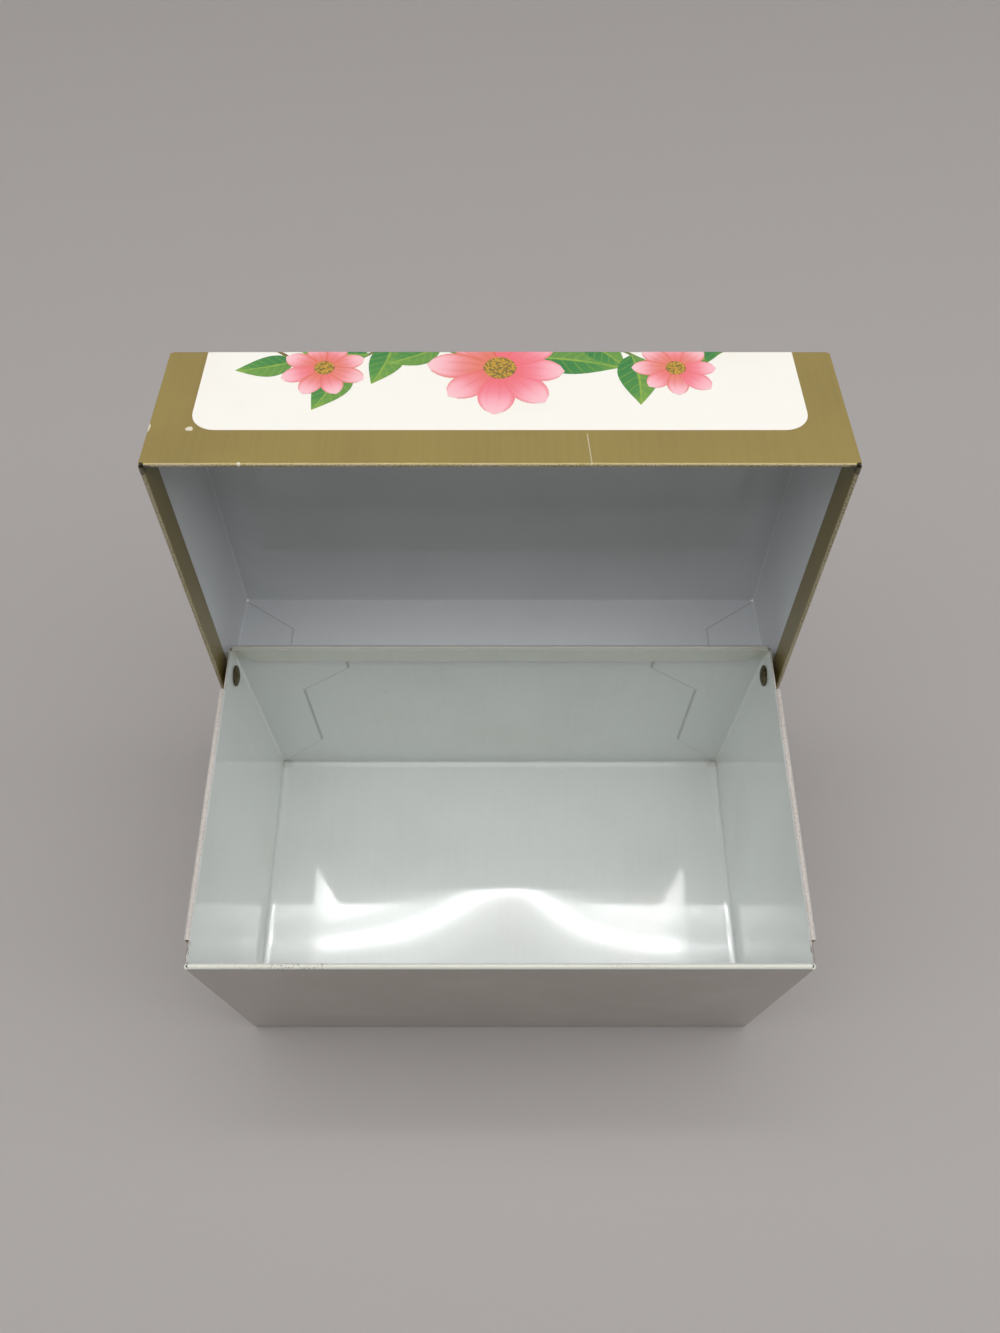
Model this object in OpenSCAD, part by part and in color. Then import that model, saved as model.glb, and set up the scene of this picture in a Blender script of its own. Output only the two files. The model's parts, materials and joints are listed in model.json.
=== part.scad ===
// Folded tin box for recipe cards: a tray and a deep lid that turns on two hinge rivets.
// X runs across, Y from front to back, Z up. The origin is the middle of the tray's underside.
// The lid is drawn shut about the hinge line, then swung back until it meets its stop.

/* [Sheet] */
// Thickness of the tinplate
sheet_t = 0.3; // [0.2:0.05:0.4]
// Inside radius of a fold
fold_r = 0.5; // [0.3:0.1:1]

/* [Tray] */
// Width over the side walls
tray_w = 130.4; // [110:0.1:170]
// Depth over the front and back walls
tray_d = 77; // [60:0.5:160]
// Height of the walls
tray_h = 71; // [60:0.5:90]

/* [Tray hems] */
// Spare room in the hems of the front and back walls, beside the tucked sheet
end_hem_room = 0.4; // [0.1:0.05:1]
// Height of the hems of the front and back walls
end_hem_h = 6.3; // [4:0.1:10]
// How far the ends of those hems slope in
end_hem_miter = 4.3; // [0:0.1:6]
// Spare room in the outward hems of the side walls, beside the tucked sheet
side_hem_room = 0.5; // [0.1:0.05:1]
// Height of the outward hems of the side walls
side_hem_h = 5.5; // [4:0.1:8]
// From the front wall to the front end of a side hem
side_hem_front = 6; // [4:0.5:15]
// From the back wall to the rear end of a side hem
side_hem_back = 12; // [10:0.5:25]

/* [Corner flaps of the tray] */
// Width of a flap at the rim
flap_rim_w = 26.4; // [18:0.1:40]
// Width of a flap at its narrow middle
flap_neck_w = 13.4; // [6:0.1:17]
// From the rim down to where a flap starts to narrow
flap_rim_h = 11.2; // [8:0.1:16]
// From the rim down to the narrow middle
flap_neck_h = 23; // [18:0.1:28]
// From the underside up to where the narrow middle ends
flap_foot_h = 16.6; // [8:0.1:24]

/* [Lid] */
// Rise of the lid's top over the hinge line
lid_rise = 29; // [24:0.5:50]
// Drop of the front and side skirts below the hinge line
lid_drop = 4.6; // [3.5:0.1:8]
// How far the rear skirt laps over the back wall when shut
rear_lap = 1.5; // [0.8:0.05:2]
// Gap from the side skirts to the tray's outward hems
lid_side_gap = 0.3; // [0.3:0.05:1]
// Gap from the front skirt to the tray's front wall
lid_front_gap = 0.6; // [0.5:0.05:1.5]
// Gap from the rear skirt to the back wall when shut
lid_rear_gap = 0.15; // [0.1:0.05:0.4]
// Gap left between the rear skirt and the back wall when the lid stands open
stop_gap = 0.1; // [0.05:0.05:0.3]

/* [Lid hems] */
// Spare room in the lid's hems, beside the tucked sheet
lid_hem_room = 0.05; // [0.05:0.05:0.3]
// Height of the hems of the front and side skirts
lid_hem_h = 6.8; // [6:0.1:12]
// Height of the rear skirt's hem
rear_hem_h = 5; // [3:0.1:8]
// How far the ends of the front skirt's hem slope in
front_hem_miter = 7; // [0:0.1:10]
// Radius of the rear lower corners of the side skirts
ear_r = 1.4; // [0.5:0.1:2.5]

/* [Corner flaps of the lid] */
// Width of a flap
lid_flap_w = 13; // [8:0.1:30]
// Drop of a flap's sloping edge from the top fold to its full width
lid_flap_slope_h = 9; // [4:0.1:14]

/* [Hinge] */
// From the back wall's outer face forward to the hinge line
pivot_in = 4.8; // [4:0.1:8]
// From the rim down to the hinge line
pivot_down = 7.2; // [6:0.1:9]
// Radius of a rivet's shoulder, which turns in the tray's wall
shoulder_r = 1.8; // [1.4:0.1:2]
// Radial clearance of the shoulder in the tray's wall
shoulder_clear = 0.06; // [0.03:0.01:0.1]
// Radius of the tenon through the lid's skirt
tenon_r = 1.1; // [0.7:0.1:1.2]
// Radial clearance of the tenon in the lid's skirt
tenon_clear = 0.02; // [0.01:0.01:0.05]
// Radius of the domed head inside the tray
head_r = 2.6; // [2.2:0.1:2.9]
// Height of the domed head
head_h = 0.9; // [0.5:0.05:1.2]
// Gap from the head to the tray's wall
head_gap = 0.15; // [0.05:0.05:0.4]
// Radius of the clinched tail outside the lid
tail_r = 2.1; // [1.6:0.1:2.6]
// Height of the clinched tail
tail_h = 0.6; // [0.3:0.05:1]

/* [Hidden] */
$fn = 48;

// a cut end keeps this far from a sheet that it doesn't touch
end_clear = 0.3;
// a bend reaches this far into the flat sheet on either side of it
bend_lap = 0.1;
// height of a domed head's upright rim
rivet_rim_h = 0.25;

fold_out = fold_r + sheet_t;
end_hem_gap = sheet_t + end_hem_room;
side_hem_gap = sheet_t + side_hem_room;
lid_hem_gap = sheet_t + lid_hem_room;
lid_hem_t = 2 * sheet_t + lid_hem_gap;
end_roll_r = sheet_t + end_hem_gap / 2;
side_roll_r = sheet_t + side_hem_gap / 2;
lid_roll_r = lid_hem_t / 2;

tray_x = tray_w / 2;
tray_y = tray_d / 2;
side_hem_x = tray_x + side_hem_gap + sheet_t;
end_hem_len = tray_w - 2 * (sheet_t + end_clear);
side_hem_len = tray_d - side_hem_front - side_hem_back;

pivot_y = tray_y - pivot_in;
pivot_z = tray_h - pivot_down;

// the lid's faces, measured from the hinge line with the lid shut
lid_x = side_hem_x + lid_side_gap + lid_hem_t;
lid_hem_x = lid_x - lid_hem_t;
lid_front_y = -(tray_d - pivot_in + lid_front_gap + lid_hem_t);
lid_rear_y = pivot_in + lid_rear_gap + lid_hem_t;
rear_edge_z = pivot_down - rear_lap;

// the lid swings back until the roll of its rear hem meets the back wall
roll_y = lid_rear_y - lid_roll_r;
roll_z = rear_edge_z + lid_roll_r;
roll_reach = sqrt(roll_y * roll_y + roll_z * roll_z);
stop_y = pivot_in + stop_gap + lid_roll_r;
open_angle = atan2(roll_z, roll_y) + acos(stop_y / roll_reach);
echo(open_angle = open_angle, lid_w = 2 * lid_x, lid_d = lid_rear_y - lid_front_y);

// square bend along Z whose outer faces meet the two axes; its laps lie within the flat sheets
module bend(len) {
    linear_extrude(len, center = true) intersection() {
        translate([fold_out, fold_out]) difference() {
            circle(fold_out);
            circle(fold_r);
        }
        square(fold_out);
    }
    linear_extrude(len - 2 * sheet_t, center = true) {
        translate([fold_out, 0]) square([bend_lap, sheet_t]);
        translate([0, fold_out]) square([sheet_t, bend_lap]);
    }
}

// fold that lies along X, from the ground up to the plane y = 0
module fold_x(len) {
    rotate([90, 0, 90]) bend(len);
}

// upright fold between two heights
module fold_z(low, high) {
    translate([0, 0, (low + high) / 2]) bend(high - low);
}

// upright plate facing Y, from its outline in X and Z; it grows towards +Y
module plate_y(outline) {
    translate([0, sheet_t, 0]) rotate([90, 0, 0]) linear_extrude(sheet_t) polygon(outline);
}

// upright plate facing X, from its outline in Y and Z; it grows towards +X
module plate_x(outline) {
    rotate([90, 0, 90]) linear_extrude(sheet_t) polygon(outline);
}

// hem along X on a sheet whose far face is y = 0; it rolls towards +Y and its top is z = 0
module hem(len, gap, h, miter) {
    roll_r = sheet_t + gap / 2;
    translate([0, roll_r, -roll_r]) rotate([90, 0, 90]) {
        linear_extrude(len, center = true) intersection() {
            difference() {
                circle(roll_r);
                circle(gap / 2);
            }
            translate([-roll_r, 0]) square([2 * roll_r, roll_r]);
        }
        linear_extrude(len - 2 * sheet_t, center = true) {
            translate([-roll_r, -bend_lap]) square([sheet_t, bend_lap]);
            translate([gap / 2, -bend_lap]) square([sheet_t, bend_lap]);
        }
    }
    translate([0, sheet_t + gap, 0]) plate_y([
        [-len / 2, -roll_r], [len / 2, -roll_r], [len / 2 - miter, -h], [miter - len / 2, -h]
    ]);
}

module both_sides() {
    children();
    mirror([1, 0, 0]) children();
}

// outline of one of the tray's flaps, from its fold outwards, up to the height top
function tray_flap(top) = [
    [0, fold_out],
    [end_clear, fold_out],
    [flap_neck_w, flap_foot_h],
    [flap_neck_w, tray_h - flap_neck_h],
    [flap_rim_w, tray_h - flap_rim_h],
    [flap_rim_w, top],
    [0, top]
];

module tray_floor() {
    translate([fold_out - tray_x, fold_out - tray_y, 0])
        cube([tray_w - 2 * fold_out, tray_d - 2 * fold_out, sheet_t]);
    both_sides() translate([tray_x, 0, 0]) rotate([0, 0, 90]) fold_x(tray_d - 2 * fold_out);
    translate([0, -tray_y, 0]) fold_x(tray_w - 2 * fold_out);
    translate([0, tray_y, 0]) mirror([0, 1, 0]) fold_x(tray_w - 2 * fold_out);
}

// the front wall's flaps turn back outside the side walls, under their hems
module tray_front() {
    x = tray_x + sheet_t - fold_out;
    flap_top = tray_h - side_roll_r;
    top = tray_h - end_roll_r;
    translate([0, -tray_y, 0]) {
        plate_y([[-x, fold_out], [x, fold_out], [x, flap_top], [end_hem_len / 2, top],
            [-end_hem_len / 2, top], [-x, flap_top]]);
        translate([0, 0, tray_h]) hem(end_hem_len, end_hem_gap, end_hem_h, end_hem_miter);
    }
    both_sides() {
        translate([tray_x + sheet_t, -tray_y, 0]) rotate([0, 0, 90]) fold_z(fold_out, flap_top);
        translate([tray_x, fold_out - tray_y, 0]) plate_x(tray_flap(flap_top));
    }
}

module tray_back() {
    x = tray_x - end_clear;
    top = tray_h - end_roll_r;
    translate([0, tray_y, 0]) mirror([0, 1, 0]) {
        plate_y([[-x, fold_out], [x, fold_out], [x, top], [-x, top]]);
        translate([0, 0, tray_h]) hem(end_hem_len, end_hem_gap, end_hem_h, end_hem_miter);
    }
}

// a side wall, its outward hem, and the flap that lies inside the back wall
module tray_side() {
    front = fold_out - tray_y;
    back = tray_y - sheet_t - fold_out;
    hem_front = side_hem_front - tray_y;
    hem_back = tray_y - side_hem_back;
    low = tray_h - side_roll_r;
    flap_top = tray_h - end_roll_r;
    translate([tray_x - sheet_t, 0, 0]) {
        plate_x([
            [front, fold_out], [back, fold_out], [back, tray_h], [hem_back, tray_h],
            [hem_back, low], [hem_front, low], [hem_front, tray_h], [front, tray_h]
        ]);
        translate([0, (hem_front + hem_back) / 2, tray_h]) rotate([0, 0, -90])
            hem(side_hem_len, side_hem_gap, side_hem_h, end_clear);
    }
    translate([tray_x, tray_y - sheet_t, 0]) rotate([0, 0, 180]) fold_z(fold_out, flap_top);
    translate([tray_x - fold_out, tray_y - 2 * sheet_t, 0]) mirror([1, 0, 0])
        plate_y(tray_flap(flap_top));
}

// the tray: one folded blank
module tray() {
    color("gainsboro") difference() {
        union() {
            tray_floor();
            tray_front();
            tray_back();
            both_sides() tray_side();
        }
        translate([0, pivot_y, pivot_z]) rotate([0, 90, 0])
            cylinder(r = shoulder_r + shoulder_clear, h = 2 * side_hem_x, center = true);
    }
}

module lid_top() {
    depth = lid_rear_y - lid_front_y - 2 * fold_out;
    width = 2 * (lid_x - fold_out);
    mid_y = (lid_front_y + lid_rear_y) / 2;
    translate([-width / 2, lid_front_y + fold_out, lid_rise - sheet_t]) cube([width, depth, sheet_t]);
    translate([0, lid_front_y, lid_rise]) mirror([0, 0, 1]) fold_x(width);
    translate([0, lid_rear_y, lid_rise]) rotate([180, 0, 0]) fold_x(width);
    both_sides() translate([lid_x, mid_y, lid_rise]) mirror([0, 0, 1]) rotate([0, 0, 90]) fold_x(depth);
}

// outer sheet and hem of the front or rear skirt, with its outer face on y = 0
module lid_end_skirt(edge_z, hem_h, miter) {
    x = lid_x - end_clear;
    low = edge_z + lid_roll_r;
    plate_y([[-x, low], [x, low], [x, lid_rise - fold_out], [-x, lid_rise - fold_out]]);
    translate([0, 0, edge_z]) mirror([0, 0, 1])
        hem(2 * (lid_hem_x - end_clear), lid_hem_gap, hem_h, miter);
}

// fold and flap that turn in from a side skirt behind the outer sheet, which is on y = 0
module lid_corner(low) {
    top = lid_rise - fold_out - end_clear;
    translate([lid_x, sheet_t, 0]) rotate([0, 0, 90]) fold_z(low, top);
    translate([lid_x - fold_out, sheet_t, 0]) mirror([1, 0, 0]) plate_y([
        [0, low], [lid_flap_w, low], [lid_flap_w, top - lid_flap_slope_h], [0, top]
    ]);
}

module lid_side() {
    front = lid_front_y + sheet_t + fold_out;
    back = lid_rear_y - sheet_t - fold_out;
    low = lid_roll_r - lid_drop;
    ear_top = rear_edge_z - end_clear;
    hem_front = lid_front_y + lid_hem_t + end_clear;
    hem_back = lid_rear_y - ear_r;
    translate([lid_x - sheet_t, 0, 0]) {
        plate_x([[front, low], [back, low], [back, lid_rise - fold_out], [front, lid_rise - fold_out]]);
        rotate([90, 0, 90]) linear_extrude(sheet_t) {
            translate([back - ear_r, low]) square([lid_rear_y - back, ear_top - low]);
            translate([lid_rear_y - ear_r, low + ear_r]) circle(ear_r);
            translate([lid_rear_y - ear_r, low + ear_r]) square([ear_r, ear_top - low - ear_r]);
        }
    }
    translate([lid_x, (hem_front + hem_back) / 2, -lid_drop]) mirror([0, 0, 1]) rotate([0, 0, 90])
        hem(hem_back - hem_front, lid_hem_gap, lid_hem_h, ear_r);
    translate([0, lid_front_y, 0]) lid_corner(low);
    translate([0, lid_rear_y, 0]) mirror([0, 1, 0]) lid_corner(rear_edge_z + lid_roll_r);
}

// the lid about its hinge line, shut: one folded blank
module lid_shut() {
    difference() {
        union() {
            lid_top();
            translate([0, lid_front_y, 0]) lid_end_skirt(-lid_drop, lid_hem_h, front_hem_miter);
            translate([0, lid_rear_y, 0]) mirror([0, 1, 0]) lid_end_skirt(rear_edge_z, rear_hem_h, 0);
            both_sides() lid_side();
        }
        rotate([0, 90, 0]) cylinder(r = tenon_r + tenon_clear, h = 2 * (lid_x + sheet_t), center = true);
    }
}

module lid() {
    color([0.62, 0.55, 0.33]) translate([0, pivot_y, pivot_z]) rotate([-open_angle, 0, 0]) lid_shut();
}

// low dome with an upright rim, standing on z = 0
module dome(r, h) {
    cap_h = h - rivet_rim_h;
    ball_r = (r * r + cap_h * cap_h) / (2 * cap_h);
    cylinder(r = r, h = rivet_rim_h);
    intersection() {
        translate([0, 0, h - ball_r]) sphere(ball_r);
        translate([0, 0, rivet_rim_h]) cylinder(r = r, h = h);
    }
}

// a hinge rivet on the +X side: head in the tray, shoulder against the lid, tail outside
module hinge_rivet() {
    head_x = tray_x - sheet_t - head_gap;
    translate([0, pivot_y, pivot_z]) rotate([0, 90, 0]) {
        translate([0, 0, head_x]) mirror([0, 0, 1]) dome(head_r, head_h);
        translate([0, 0, head_x]) cylinder(r = shoulder_r, h = lid_hem_x - head_x);
        translate([0, 0, lid_hem_x]) cylinder(r = tenon_r, h = lid_hem_t);
        translate([0, 0, lid_x]) dome(tail_r, tail_h);
    }
}

module hinge_rivet_left() {
    color("darkgoldenrod") mirror([1, 0, 0]) hinge_rivet();
}

module hinge_rivet_right() {
    color("darkgoldenrod") hinge_rivet();
}

tray();
lid();
hinge_rivet_left();
hinge_rivet_right();
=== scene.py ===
# Recipe card box: a white enamelled tray and a gold printed lid, both folded from tinplate.
# Objects are in metres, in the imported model's frame. Materials and the print work in millimetres.
import json
import math
import random

import bmesh
import bpy
from mathutils import Matrix, Vector

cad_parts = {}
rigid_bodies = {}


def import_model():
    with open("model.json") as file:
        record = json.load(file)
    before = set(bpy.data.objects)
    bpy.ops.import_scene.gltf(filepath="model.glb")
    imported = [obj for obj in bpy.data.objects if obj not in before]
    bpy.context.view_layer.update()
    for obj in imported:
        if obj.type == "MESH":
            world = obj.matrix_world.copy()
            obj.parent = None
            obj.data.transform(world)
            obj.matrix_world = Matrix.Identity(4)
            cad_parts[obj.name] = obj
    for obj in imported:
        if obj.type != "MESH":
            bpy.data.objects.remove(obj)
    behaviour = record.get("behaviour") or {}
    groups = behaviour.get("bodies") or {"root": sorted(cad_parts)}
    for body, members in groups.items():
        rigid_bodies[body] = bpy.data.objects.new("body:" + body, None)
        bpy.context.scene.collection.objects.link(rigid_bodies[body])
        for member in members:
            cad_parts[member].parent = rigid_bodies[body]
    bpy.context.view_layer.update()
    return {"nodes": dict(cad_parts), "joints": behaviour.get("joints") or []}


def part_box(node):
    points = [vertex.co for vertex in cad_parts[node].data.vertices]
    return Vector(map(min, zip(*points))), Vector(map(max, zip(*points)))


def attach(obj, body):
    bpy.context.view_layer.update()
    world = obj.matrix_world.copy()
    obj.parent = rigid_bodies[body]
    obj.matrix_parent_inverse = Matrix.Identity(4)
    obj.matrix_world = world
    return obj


for leftover in list(bpy.data.objects):
    bpy.data.objects.remove(leftover)
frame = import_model()
print("frame loaded")

mm = 0.001


# the camera stands in front of the box and looks steeply down into it
view = {
    "forward": -85.5,  # place along Y
    "height": 290.0,
    "tilt": 28.3,  # degrees from straight down
    "lens": 28.15,
    "sensor": 36,  # along the picture's height
    "nearest": 0.01,
}


def makeCamera():
    lens = bpy.data.cameras.new("camera")
    lens.lens = view["lens"]
    lens.sensor_width = view["sensor"]
    lens.clip_start = view["nearest"]
    camera = bpy.data.objects.new("camera", lens)
    camera.location = (0, view["forward"] * mm, view["height"] * mm)
    camera.rotation_euler = (math.radians(view["tilt"]), 0, 0)
    bpy.context.scene.collection.objects.link(camera)
    bpy.context.scene.camera = camera


makeCamera()
print("camera placed")


def paint(red, green, blue):
    # an sRGB colour, 0 to 255, as linear light
    parts = [part / 255 for part in (red, green, blue)]
    return tuple(p / 12.92 if p <= 0.04045 else ((p + 0.055) / 1.055) ** 2.4 for p in parts) + (1,)


class Sock:
    # an output socket that can be used in sums; two masks meet with & and join with |
    def __init__(self, tree, socket):
        self.tree = tree
        self.socket = socket

    def calc(self, operation, *others):
        return self.tree.node("ShaderNodeMath", {"operation": operation}, [self, *others])

    def __add__(self, other):
        return self.calc("ADD", other)

    def __sub__(self, other):
        return self.calc("SUBTRACT", other)

    def __mul__(self, other):
        return self.calc("MULTIPLY", other)

    def __truediv__(self, other):
        return self.calc("DIVIDE", other)

    def __pow__(self, other):
        return self.calc("POWER", other)

    def __neg__(self):
        return self.calc("MULTIPLY", -1)

    def __abs__(self):
        return self.calc("ABSOLUTE")

    def __lt__(self, other):
        return self.calc("LESS_THAN", other)

    def __gt__(self, other):
        return self.calc("GREATER_THAN", other)

    def __and__(self, other):
        return self.calc("MINIMUM", other)

    def __or__(self, other):
        return self.calc("MAXIMUM", other)

    def __rsub__(self, other):
        return self.tree.node("ShaderNodeMath", {"operation": "SUBTRACT"}, [other, self])

    __radd__ = __add__
    __rmul__ = __mul__

    def ramp(self, low, high):
        # 0 below low and 1 above high, or the other way round where low is the larger
        values = {"Value": self, "From Min": low, "From Max": high}
        return self.tree.node("ShaderNodeMapRange", {"interpolation_type": "SMOOTHSTEP"}, values)

    def share(self, low, high, most):
        # the same, but up to most
        return self.ramp(low, high) * most

    def axes(self):
        return [self.tree.node("ShaderNodeSeparateXYZ", {}, [self], out) for out in range(3)]


class Tree:
    # adds nodes to one tree; values are numbers, colours or Socks, by input name or in order
    def __init__(self, nodeTree):
        self.nodeTree = nodeTree

    def node(self, kind, settings, values, out=0):
        made = self.nodeTree.nodes.new(kind)
        for name, setting in settings.items():
            setattr(made, name, setting)
        pairs = values.items() if isinstance(values, dict) else enumerate(values)
        for name, value in pairs:
            if isinstance(value, Sock):
                self.nodeTree.links.new(value.socket, made.inputs[name])
            else:
                made.inputs[name].default_value = value
        return Sock(self, made.outputs[out])

    def vector(self, x, y, z):
        return self.node("ShaderNodeCombineXYZ", {}, [x, y, z])

    def vectorCalc(self, operation, first, second=(0, 0, 0), out=0):
        return self.node("ShaderNodeVectorMath", {"operation": operation}, [first, second], out)

    def blend(self, amount, first, second):
        # second covers first by amount
        return self.node("ShaderNodeMix", {"data_type": "RGBA"}, {0: amount, 6: first, 7: second}, 2)

    def noise(self, place, size, detail=2, stretch=(1, 1, 1)):
        # grain of about that size in the units of place, from 0 to 1
        spread = self.vectorCalc("MULTIPLY", place, tuple(s / size for s in stretch))
        return self.node("ShaderNodeTexNoise", {}, {"Vector": spread, "Scale": 1, "Detail": detail})

    def stroke(self, x, y, start, end, width):
        # 1 on a straight line from start to end, fading over its own width
        run = (end[0] - start[0], end[1] - start[1])
        length = math.hypot(*run)
        along = ((x - start[0]) * run[0] + (y - start[1]) * run[1]) / length
        across = abs((x - start[0]) * run[1] - (y - start[1]) * run[0]) / length
        return across.ramp(width, width / 2) & along.ramp(-width, 0) & along.ramp(length + width, length)


def newMaterial(name):
    material = bpy.data.materials.new(name)
    material.use_nodes = True
    material.node_tree.nodes.clear()
    return material, Tree(material.node_tree)


def finishMaterial(tree, shader):
    output = tree.nodeTree.nodes.new("ShaderNodeOutputMaterial")
    tree.nodeTree.links.new(shader.socket, output.inputs[0])


def millimetres(tree):
    here = tree.node("ShaderNodeTexCoord", {}, [], "Object")
    return tree.vectorCalc("MULTIPLY", here, (1 / mm, 1 / mm, 1 / mm))


def bump(tree, height, depth):
    # height is 0 to 1 and depth is its size in millimetres
    return tree.node("ShaderNodeBump", {}, {"Height": height, "Distance": depth * mm, "Strength": 1})


# the tray's enamel, with its wear and some painted shade; the flap and hem sizes are those of the folded
# sheet
enamel = {
    "white": paint(226, 230, 228),
    "outside": paint(180, 172, 161),  # a warmer tone on the sheet's outer face, darkened as painted shade
    "cream": paint(214, 207, 196),  # where it has yellowed
    "rubbed": paint(176, 163, 155),  # thin enamel on the side walls' top edges
    # for dirt, streaks and knocks, and as painted shade along seams and in gaps
    "grimeAndShade": paint(96, 92, 84),
    "stain": paint(132, 132, 108),
    "hem": paint(219, 222, 211),
    "tin": paint(150, 148, 144),
    # noise: size, detail, and stretch where it has one
    "cloud": (28, 3),
    "streak": (1.6, 2, (1, 0.05, 0.05)),
    "grain": (0.5, 2),
    "speck": (0.9, 1),
    "rag": (1.3, 2),
    "blot": (1.5, 3),
    "wave": (24, 1),
    "skin": (1.4, 2),
    # wear that follows noise: where it starts, where it is full, and how strongly it then shows
    "yellowing": (0.45, 0.75, 0.2),
    "streaks": (0.4, 0.7, 0.015),
    "specks": (0.8, 0.84, 0.5),
    "rimSpots": (0.4, 0.7, 0.3),
    "rubSpots": (0.35, 0.65, 0.25),
    "stains": (2, 0.6, 0.35),  # by millimetres from a stain's middle
    "wornGrain": (0.58, 0.64),
    "wornCloud": (0.5, 0.65),
    "knockGrain": (0.56, 0.62),
    # how strongly each of these shows
    "rimCream": 0.2,
    "rimRub": 0.6,
    # the next darkens the back rim toward tin, as painted shade under the lid
    "rearRimShade": 0.5,
    "seamGrimeAndShade": 0.3,
    "worn": 0.35,
    "knocks": 0.4,
    "gapShade": 0.75,
    # roughness: of sound enamel, and what wear adds to it
    "gloss": 0.06,
    "wornRough": 0.25,
    "rimRough": 0.4,
    "cloudRough": (0.4, 0.8, 0.03),
    # relief of the surface
    "ripple": 0.025,
    "peel": 0.0012,
    "sag": 1.2,  # how far the floor sinks toward its rear on either side of the middle
    "sagMiddle": 3.4,
    "sagWidth": 18,
    "sagLean": 0.4,  # how much sooner it sinks on the right
    "sagReach": (6, -44),  # along Y, from the level part to the full sag
    "sagTop": 1.0,  # the sag and the fillet stay under these heights
    "filletTop": 0.6,
    "fillet": (2.6, 3.0, 0.1),  # width at the side folds and at the rear fold, and steepness
    # the folded sheet
    "flapRim": (26.4, 11.2),  # width at the rim, and how far down it keeps that
    "flapNeck": (13.4, 23.0, 16.6),  # narrow width, from this far under the rim to this height
    "endHem": (6.3, 4.3),  # height, and how far its ends slope in
    "endHemTop": 0.8,  # how far under the rim a slope ends
    "endHemLine": (0.3, 0.35),  # width and strength of the dark line along its edge: painted shadow under the hem, with some grime
    "endHemSlope": (0.35, 0.8),
    "endBand": 2.0,  # the front and back walls' share of the depth, with their hems
    "sideHemHeight": 5.5,
    "sideHemFront": 6.0,  # from the front wall to where a side hem starts
    "hemDepth": 1.3,  # from the outer face to the hem's inner face
    "foldRadius": 0.8,
    "sheet": 0.3,
    "wallX": 65.2,  # outer face of the side walls
    "outerDepth": 0.24,  # how far into the sheet its outer face's colour reaches
    "outerPast": 0.4,  # and how far past the side walls, short of their hems
    "rimBand": 0.45,  # the top of the rim, which stays white
    "seam": 0.45,  # width of the dark line along a flap's edge
    "seamShade": (1.0, 0.8, 1.0, 0.4),  # of its four stretches, from the rim down
    "rimTop": (0.4, 0.1),  # how far under the rim its wear starts and is full
    "rimEnd": 1.5,  # the front and back walls' share of the side rims
    "knock": (-42, 6, 1.4, 1.1),  # along the front rim: middle, half length, how far in and how far down
    "frontGap": (0.25, 1.0),  # from the outer faces of the side wall and the front wall
    "rearGap": (0.5, 1.7),
    "gapDrop": 1.0,
    "gapRag": 0.9,  # how far a gap's edge wanders
    "stainAt": (1.2, 1.0, 0.6),  # middle: from the side wall and the back wall, and up
    "stainLong": 0.4,  # under 1 draws a stain out along the back wall
    "stainRag": 2.4,
}


def flapSeamShade(tree, across, z, rim):
    # the dark line along a corner flap's edge: painted shadow of the sheet's step, with grime on the cut
    # edge; across is measured from the fold
    edge, edgeDrop = enamel["flapRim"]
    neck, neckDrop, neckFoot = enamel["flapNeck"]
    points = [(edge, rim), (edge, rim - edgeDrop), (neck, rim - neckDrop), (neck, neckFoot)]
    points.append((0, enamel["foldRadius"]))
    stretches = zip(points, points[1:], enamel["seamShade"])
    lines = [tree.stroke(across, z, start, end, enamel["seam"]) * shade for start, end, shade in stretches]
    return lines[0] | lines[1] | lines[2] | lines[3]


def trayFaces(x, y, z, rim, backY):
    # masks of the sheet's outer face, which gets painted shade, and of the end hems that show it again
    # inside the tray
    sideX = enamel["wallX"]
    half = enamel["sheet"] / 2
    r = enamel["foldRadius"]
    overX = (abs(x) - sideX + r) | 0
    overY = (abs(y) - backY + r) | 0
    under = (r - z) | 0
    shell = (overX ** 2 + overY ** 2 + under ** 2) ** 0.5 - r
    shadedOuter = (shell > -enamel["outerDepth"]) & (abs(x) < sideX + enamel["outerPast"])
    inHem = (abs(y) > backY - enamel["hemDepth"] - half) & (abs(y) < backY - half)
    return shadedOuter & (z < rim - enamel["rimBand"]), inHem & (z > rim - enamel["endHem"][0])


def traySeamShade(tree, x, y, z, rim, backY):
    # the dark lines are painted shadow with some grime; the back flaps are inside the back wall, the front
    # flaps outside the side walls
    sideX = enamel["wallX"]
    half = enamel["sheet"] / 2
    r = enamel["foldRadius"]
    hemHeight, hemSlope = enamel["endHem"]
    inEnds = (abs(y) > backY - enamel["endBand"]) & (abs(y) < backY - half)
    back = flapSeamShade(tree, sideX - r - abs(x), z, rim) & (abs(x) < sideX - half)
    back = back & inEnds & (y > 0) & (z < rim - hemHeight)
    side = flapSeamShade(tree, y + backY - r, z, rim) & (abs(x) > sideX - half)
    side = side & (z < rim - enamel["sideHemHeight"])
    hemEnd = sideX - 2 * enamel["sheet"]
    corner = (hemEnd - hemSlope, rim - hemHeight)
    # painted shadow under the end hems' edges, with some grime
    width, shade = enamel["endHemLine"]
    level = tree.stroke(abs(x), z, (0, rim - hemHeight), corner, width) * shade
    width, shade = enamel["endHemSlope"]
    slope = tree.stroke(abs(x), z, corner, (hemEnd, rim - enamel["endHemTop"]), width) * shade
    return back | side | ((level | slope) & inEnds)


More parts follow.
